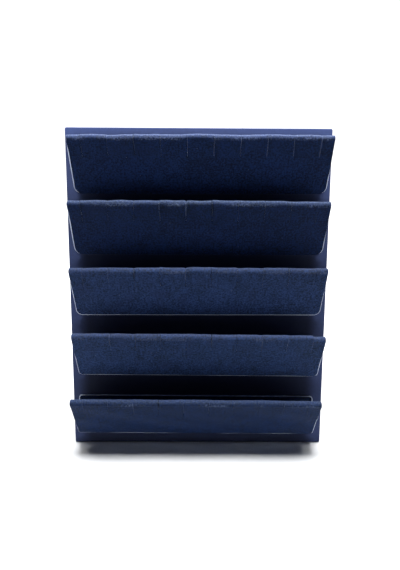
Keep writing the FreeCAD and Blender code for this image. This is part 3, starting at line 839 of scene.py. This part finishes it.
# ---------------------------------------------------------------- ribbon stay

REACH, TAIL = 140.0, 14.0                    # from the strut's axis, and glued down at each end
BOARD_SIDE, LEG_SIDE = 3.85, 3.05            # from the strut's axis to the board's lining, and 0.3 off the leg's
RIBBON_HALF, RIBBON_THICK, RIBBON_CUP = 6.0, 0.28, 0.03
TAIL_OFF = 0.16                              # from there to the middle of the ribbon's tails
SAG = 0.9


def ribbon(name, path, normals, body):
    """A flat ribbon along a path, with the normal of each of its points, riding on a body."""
    cols = np.linspace(-RIBBON_HALF, RIBBON_HALF, 13)
    run = np.concatenate([[0], np.cumsum(np.linalg.norm(np.diff(path, axis=0), axis=1))]) / MM
    cup = (1 - (cols / RIBBON_HALF) ** 2) * RIBBON_CUP
    middle = path[:, None] + MM * cols[None, :, None] * X
    normals = np.broadcast_to(normals, path.shape)[:, None] * MM
    outer = middle + normals * (RIBBON_THICK / 2 + cup)[None, :, None]
    inner = middle - normals * (RIBBON_THICK / 2 - cup)[None, :, None]
    uv = np.stack(np.meshgrid((cols + RIBBON_HALF) / 100, run / 100), -1)
    v, f, uvs, m = slab(outer, inner, uv)
    ob = make(name, v, f, uvs, m, [ribbon_cloth])
    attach(ob, body)
    return ob


def build_ribbon():
    """Two tails glued to board and leg, and the span between them, which rides on the board."""
    down = (REACH - np.linspace(0, TAIL, 8))[:, None]
    board_tail = strut_axis + MM * (-down * UP + (BOARD_SIDE - TAIL_OFF) * OUT)
    leg_tail = strut_axis + MM * (down * DOWN - (LEG_SIDE + TAIL_OFF) * BACK)
    start, end = board_tail[0] - MM * 0.19 * OUT, leg_tail[0]
    normal = np.cross(X, (end - start) / np.linalg.norm(end - start))
    t = np.linspace(0, 1, 40)[:, None]
    sagging = start + (end - start) * t + normal * np.sin(math.pi * t) * MM * SAG
    ribbon("ribbon_stay_board_tail", board_tail, -OUT, "board")
    ribbon("ribbon_stay_leg_tail", leg_tail, -BACK, "strut_leg")
    span = ribbon("ribbon_stay_span", sagging, normal, "board")
    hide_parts("ribbon_stay")
    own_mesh(span)


build_ribbon()

# ---------------------------------------------------------------- finishes on the CAD pieces that stay

def cad_finish(name):
    if name in ("board_core", "back_infill", "strut_head_core", "strut_leg_core"):
        return greyboard
    if name in ("back_lining", "strut_leg_lining"):
        return lining
    if name.endswith("_tape"):
        return tape
    return None


for name, ob in frame["nodes"].items():
    finish = cad_finish(name)
    if finish:
        ob.data.materials.clear()
        ob.data.materials.append(finish)

# ---------------------------------------------------------------- floor, light and camera

scene = bpy.context.scene


def backdrop():
    """A pale floor that curves up into a wall far behind."""
    n = Nodes("studio_white")
    at = n.add("ShaderNodeTexCoord").outputs["Object"]
    tone = n.ramp(n.noise(at, 3, 3, 0.5), 0.3, 0.7)
    mat = n.shade(n.mix(tone, (0.8, 0.805, 0.81), (0.83, 0.835, 0.84)), 0.9, specular=0.1)
    front, bend_y, bend_r, wall_top, half = -3.0, 1.6, 0.9, 3.2, 4.0
    turns = np.linspace(0, math.pi / 2, 16)
    profile = [(bend_y + bend_r * math.sin(t), bend_r * (1 - math.cos(t))) for t in turns]
    profile = [(front, 0.0)] + profile + [(bend_y + bend_r, wall_top)]
    verts = [(x, y, z) for y, z in profile for x in (-half, half)]
    faces = [(2 * i, 2 * i + 1, 2 * i + 3, 2 * i + 2) for i in range(len(profile) - 1)]
    make("studio_floor", verts, faces, materials=[mat], sharp=180)


def area(name, at, target, size, power, colour):
    """A rectangular lamp at a place, turned to a target, with its size in metres and its power in watts."""
    light = bpy.data.lights.new(name, "AREA")
    light.shape = "RECTANGLE"
    light.size, light.size_y = size
    light.energy = power
    light.color = colour
    ob = bpy.data.objects.new(name, light)
    ob.location = at
    ob.rotation_euler = (Vector(target) - Vector(at)).to_track_quat("-Z", "Y").to_euler()
    scene.collection.objects.link(ob)
    return light


def room():
    """A world that is pale near the horizon and dim above, so that little light gets in over the ledges."""
    world = bpy.data.worlds.new("studio")
    world.use_nodes = True
    tree = world.node_tree
    height = tree.nodes.new("ShaderNodeSeparateXYZ")
    tree.links.new(tree.nodes.new("ShaderNodeTexCoord").outputs["Generated"], height.inputs[0])
    fade = tree.nodes.new("ShaderNodeValToRGB")
    tree.links.new(height.outputs["Z"], fade.inputs["Fac"])
    fade.color_ramp.interpolation = "EASE"
    horizon, above = fade.color_ramp.elements
    horizon.position, horizon.color = 0.0, (0.55, 0.56, 0.58, 1)
    above.position, above.color = 0.35, (0.01, 0.01, 0.012, 1)
    between = fade.color_ramp.elements.new(0.1)
    between.color = (0.16, 0.165, 0.175, 1)
    background = tree.nodes["Background"]
    tree.links.new(fade.outputs["Color"], background.inputs["Color"])
    background.inputs["Strength"].default_value = 1.0
    scene.world = world


# The camera looks along the board's inward normal, turned down by PITCH. CAMERA_UP is above the board's foot.
CAMERA_X, CAMERA_UP, CAMERA_OUT = -1.39, 226.09, 441.88
PITCH, YAW, ROLL_ANGLE = math.radians(-7.852), math.radians(-0.364), math.radians(0.265)
SENSOR = 36.0
FOCAL = SENSOR * 450 / 570


def place_camera():
    lens = bpy.data.cameras.new("camera")
    lens.sensor_width = SENSOR
    lens.lens = FOCAL
    lens.clip_start, lens.clip_end = 0.02, 20
    cam = bpy.data.objects.new("camera", lens)
    spot = board_point(np.array([CAMERA_X]), np.array([CAMERA_UP - BOARD_H]), np.array([CAMERA_OUT]))[0]
    axes = Matrix(np.stack([X, UP, OUT], 1).tolist())
    turn = Matrix.Rotation(ROLL_ANGLE, 3, "Z") @ Matrix.Rotation(YAW, 3, "Y")
    turn = turn @ Matrix.Rotation(PITCH, 3, "X")
    cam.matrix_world = Matrix.Translation(Vector(spot)) @ (axes @ turn).to_4x4()
    scene.collection.objects.link(cam)
    scene.camera = cam


backdrop()
area("overhead", (0, 0, 1.0), (0, 0, 0.1), (0.4, 0.26), 19, (0.97, 0.985, 1.0))
front_floor = area("front_floor_light", (0, -1.5, 0.9), (0, -1.5, 0), (3.4, 1.8), 16, (0.94, 0.97, 1.0))
front_floor.spread = math.radians(60)
area("backdrop_light", (0, 1.1, 2.6), (0, 1.7, 0.3), (4.0, 0.6), 120, (1.0, 1.0, 1.0))
room()
place_camera()
scene.view_settings.view_transform = "Standard"
